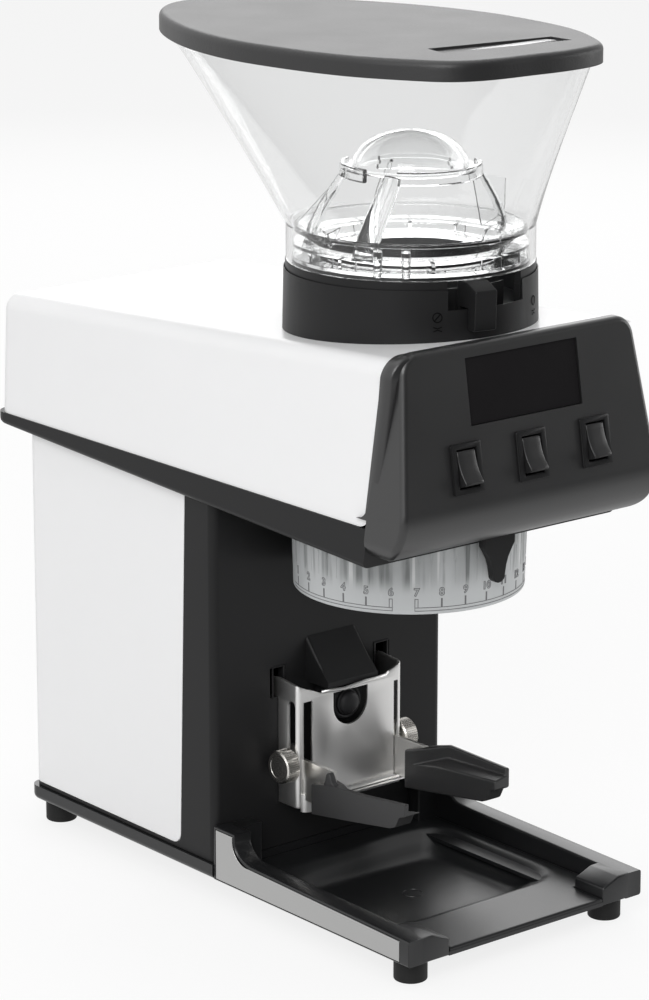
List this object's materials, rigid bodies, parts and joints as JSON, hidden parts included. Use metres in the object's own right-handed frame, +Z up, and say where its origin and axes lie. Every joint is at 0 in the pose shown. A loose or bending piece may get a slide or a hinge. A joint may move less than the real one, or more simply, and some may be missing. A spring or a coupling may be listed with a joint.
{
  "type": "coffee grinder",
  "caption": "Countertop coffee grinder with a clear lidded hopper, leaning control panel, numbered adjustment ring, height-adjustable fork and lift-out catch tray.",
  "frame": {"origin": "middle of the footprint, on the surface that the feet stand on", "axes": "+Z up, -Y to the front panel, +X to the right seen from the front"},
  "size_m": [0.1548, 0.3166, 0.417],
  "materials": {
    "base_plastic": "fine satin moulding",
    "tray_plastic": "fine satin moulding",
    "black_plastic": "fine matt moulding",
    "lid_plastic": "fine grained moulding",
    "fork_plastic": "satin moulding",
    "switch_plastic": "half gloss",
    "button_rubber": "matt",
    "rubber": "matt",
    "white_paint": "smooth satin coat",
    "trim_paint": "smooth satin coat",
    "clear_plastic": "clear, polished",
    "dark_window": "polished",
    "ring_plastic": "fine satin moulding",
    "brushed_sheet": "brushed",
    "screw_steel": "turned",
    "inner_steel": "plain",
    "inner_iron": "plain",
    "inner_aluminium": "cast",
    "burr_steel": "ground",
    "gear_plastic": "moulded",
    "inner_plastic": "moulded",
    "circuit_board": "varnished"
  },
  "bodies": {
    "frame": {"base_tray": "base_plastic", "rubber_feet": "rubber", "side_trim_right": "trim_paint", "side_trim_left": "trim_paint", "column_frame": "black_plastic", "column_cover": "white_paint", "head_pan": "black_plastic", "head_cover": "white_paint", "front_panel": "black_plastic", "display_window": "dark_window", "display_board": "circuit_board", "hopper_collar": "black_plastic", "scale_pointer": "black_plastic", "bracket_plate": "brushed_sheet", "switch_hood": "black_plastic", "start_switch": "button_rubber", "support_plate": "inner_steel", "gear_case": "inner_plastic", "gear_cover": "inner_plastic", "guide_pins": "inner_steel", "motor_can": "inner_steel", "upper_bearing": "inner_steel", "grinder_housing": "inner_aluminium", "ring_burr": "burr_steel", "bean_throat": "inner_plastic", "grounds_chute": "inner_plastic", "outlet_funnel": "inner_plastic", "power_inlet": "inner_plastic", "control_board": "circuit_board", "switch_body_left": "switch_plastic", "switch_body_middle": "switch_plastic", "switch_body_right": "switch_plastic"},
    "catch_tray": {"catch_tray": "tray_plastic"},
    "hopper": {"hopper_base": "black_plastic", "hopper_shell": "clear_plastic", "finger_guard": "clear_plastic"},
    "lid": {"hopper_lid": "lid_plastic"},
    "shutter": {"bean_shutter": "black_plastic"},
    "adjustment_ring": {"adjustment_ring": "ring_plastic"},
    "thrust_carrier": {"thrust_carrier": "inner_aluminium", "lower_bearing": "inner_steel"},
    "spindle": {"spindle": "inner_steel", "drive_gear": "gear_plastic", "sweeper": "inner_plastic", "cone_burr": "burr_steel", "burr_nut": "inner_steel"},
    "first_idler": {"first_idler": "gear_plastic"},
    "second_idler": {"second_idler": "gear_plastic"},
    "motor": {"motor_rotor": "inner_iron", "motor_pinion": "inner_steel"},
    "rocker_left": {"rocker_left": "switch_plastic"},
    "rocker_middle": {"rocker_middle": "switch_plastic"},
    "rocker_right": {"rocker_right": "switch_plastic"},
    "start_button": {"start_button": "button_rubber"},
    "fork": {"fork_carrier": "brushed_sheet", "fork_arm_left": "fork_plastic", "fork_arm_right": "fork_plastic"},
    "thumb_screw_left": {"thumb_screw_left": "screw_steel"},
    "thumb_screw_right": {"thumb_screw_right": "screw_steel"}
  },
  "joints": [
    {"name": "motor_spin", "type": "hinge", "parent": "frame", "child": "motor", "pos_m": [0, 0.05368, 0.2], "axis": [0, 0, 1], "continuous": true},
    {"name": "first_idler_spin", "type": "hinge", "parent": "frame", "child": "first_idler", "pos_m": [0, 0.01368, 0.2], "axis": [0, 0, 1], "continuous": true},
    {"name": "second_idler_spin", "type": "hinge", "parent": "frame", "child": "second_idler", "pos_m": [0, -0.02982, 0.2], "axis": [0, 0, 1], "continuous": true},
    {"name": "carrier_lift", "type": "slide", "parent": "frame", "child": "thrust_carrier", "axis": [0, 0, 1], "range_m": [-0.000133, 0.000616]},
    {"name": "spindle_spin", "type": "hinge", "parent": "thrust_carrier", "child": "spindle", "pos_m": [0, -0.07182, 0.2], "axis": [0, 0, 1], "continuous": true},
    {"name": "ring_turn", "type": "hinge", "parent": "frame", "child": "adjustment_ring", "pos_m": [0, -0.07182, 0.18], "axis": [0, 0, 1], "range_deg": [-24, 111]},
    {"name": "hopper_lift", "type": "slide", "parent": "frame", "child": "hopper", "axis": [0, 0, 1], "range_m": [0, 0.06]},
    {"name": "lid_lift", "type": "slide", "parent": "hopper", "child": "lid", "axis": [0, 0, 1], "range_m": [0, 0.04]},
    {"name": "shutter_turn", "type": "hinge", "parent": "hopper", "child": "shutter", "pos_m": [0, -0.07182, 0.295], "axis": [0, 0, 1], "range_deg": [-7, 17]},
    {"name": "tray_lift", "type": "slide", "parent": "frame", "child": "catch_tray", "axis": [0, 0, 1], "range_m": [0, 0.018]},
    {"name": "fork_height", "type": "slide", "parent": "frame", "child": "fork", "axis": [0, 0, 1], "range_m": [0, 0.022]},
    {"name": "thumb_screw_left_turn", "type": "hinge", "parent": "fork", "child": "thumb_screw_left", "pos_m": [-0.037, -0.02447, 0.0636], "axis": [-1, 0, 0], "range_deg": [0, 350]},
    {"name": "thumb_screw_right_turn", "type": "hinge", "parent": "fork", "child": "thumb_screw_right", "pos_m": [0.037, -0.02447, 0.0636], "axis": [1, 0, 0], "range_deg": [0, 350]},
    {"name": "start_press", "type": "slide", "parent": "frame", "child": "start_button", "axis": [0, 1, 0], "range_m": [0, 0.0025], "stiffness_N_per_m": 500},
    {"name": "rocker_left_tilt", "type": "hinge", "parent": "frame", "child": "rocker_left", "pos_m": [-0.0388, -0.15306, 0.23261], "axis": [1, 0, 0], "range_deg": [0, 18]},
    {"name": "rocker_middle_tilt", "type": "hinge", "parent": "frame", "child": "rocker_middle", "pos_m": [0, -0.15306, 0.23261], "axis": [1, 0, 0], "range_deg": [0, 18]},
    {"name": "rocker_right_tilt", "type": "hinge", "parent": "frame", "child": "rocker_right", "pos_m": [0.0388, -0.15306, 0.23261], "axis": [1, 0, 0], "range_deg": [0, 18]}
  ],
  "couplings": [
    {"joint": "first_idler_spin", "follows": "motor_spin", "ratio": -0.28},
    {"joint": "second_idler_spin", "follows": "motor_spin", "ratio": 0.073043},
    {"joint": "spindle_spin", "follows": "motor_spin", "ratio": -0.029217},
    {"joint": "ring_turn", "follows": "carrier_lift", "rad_per_m": 3141.6}
  ]
}
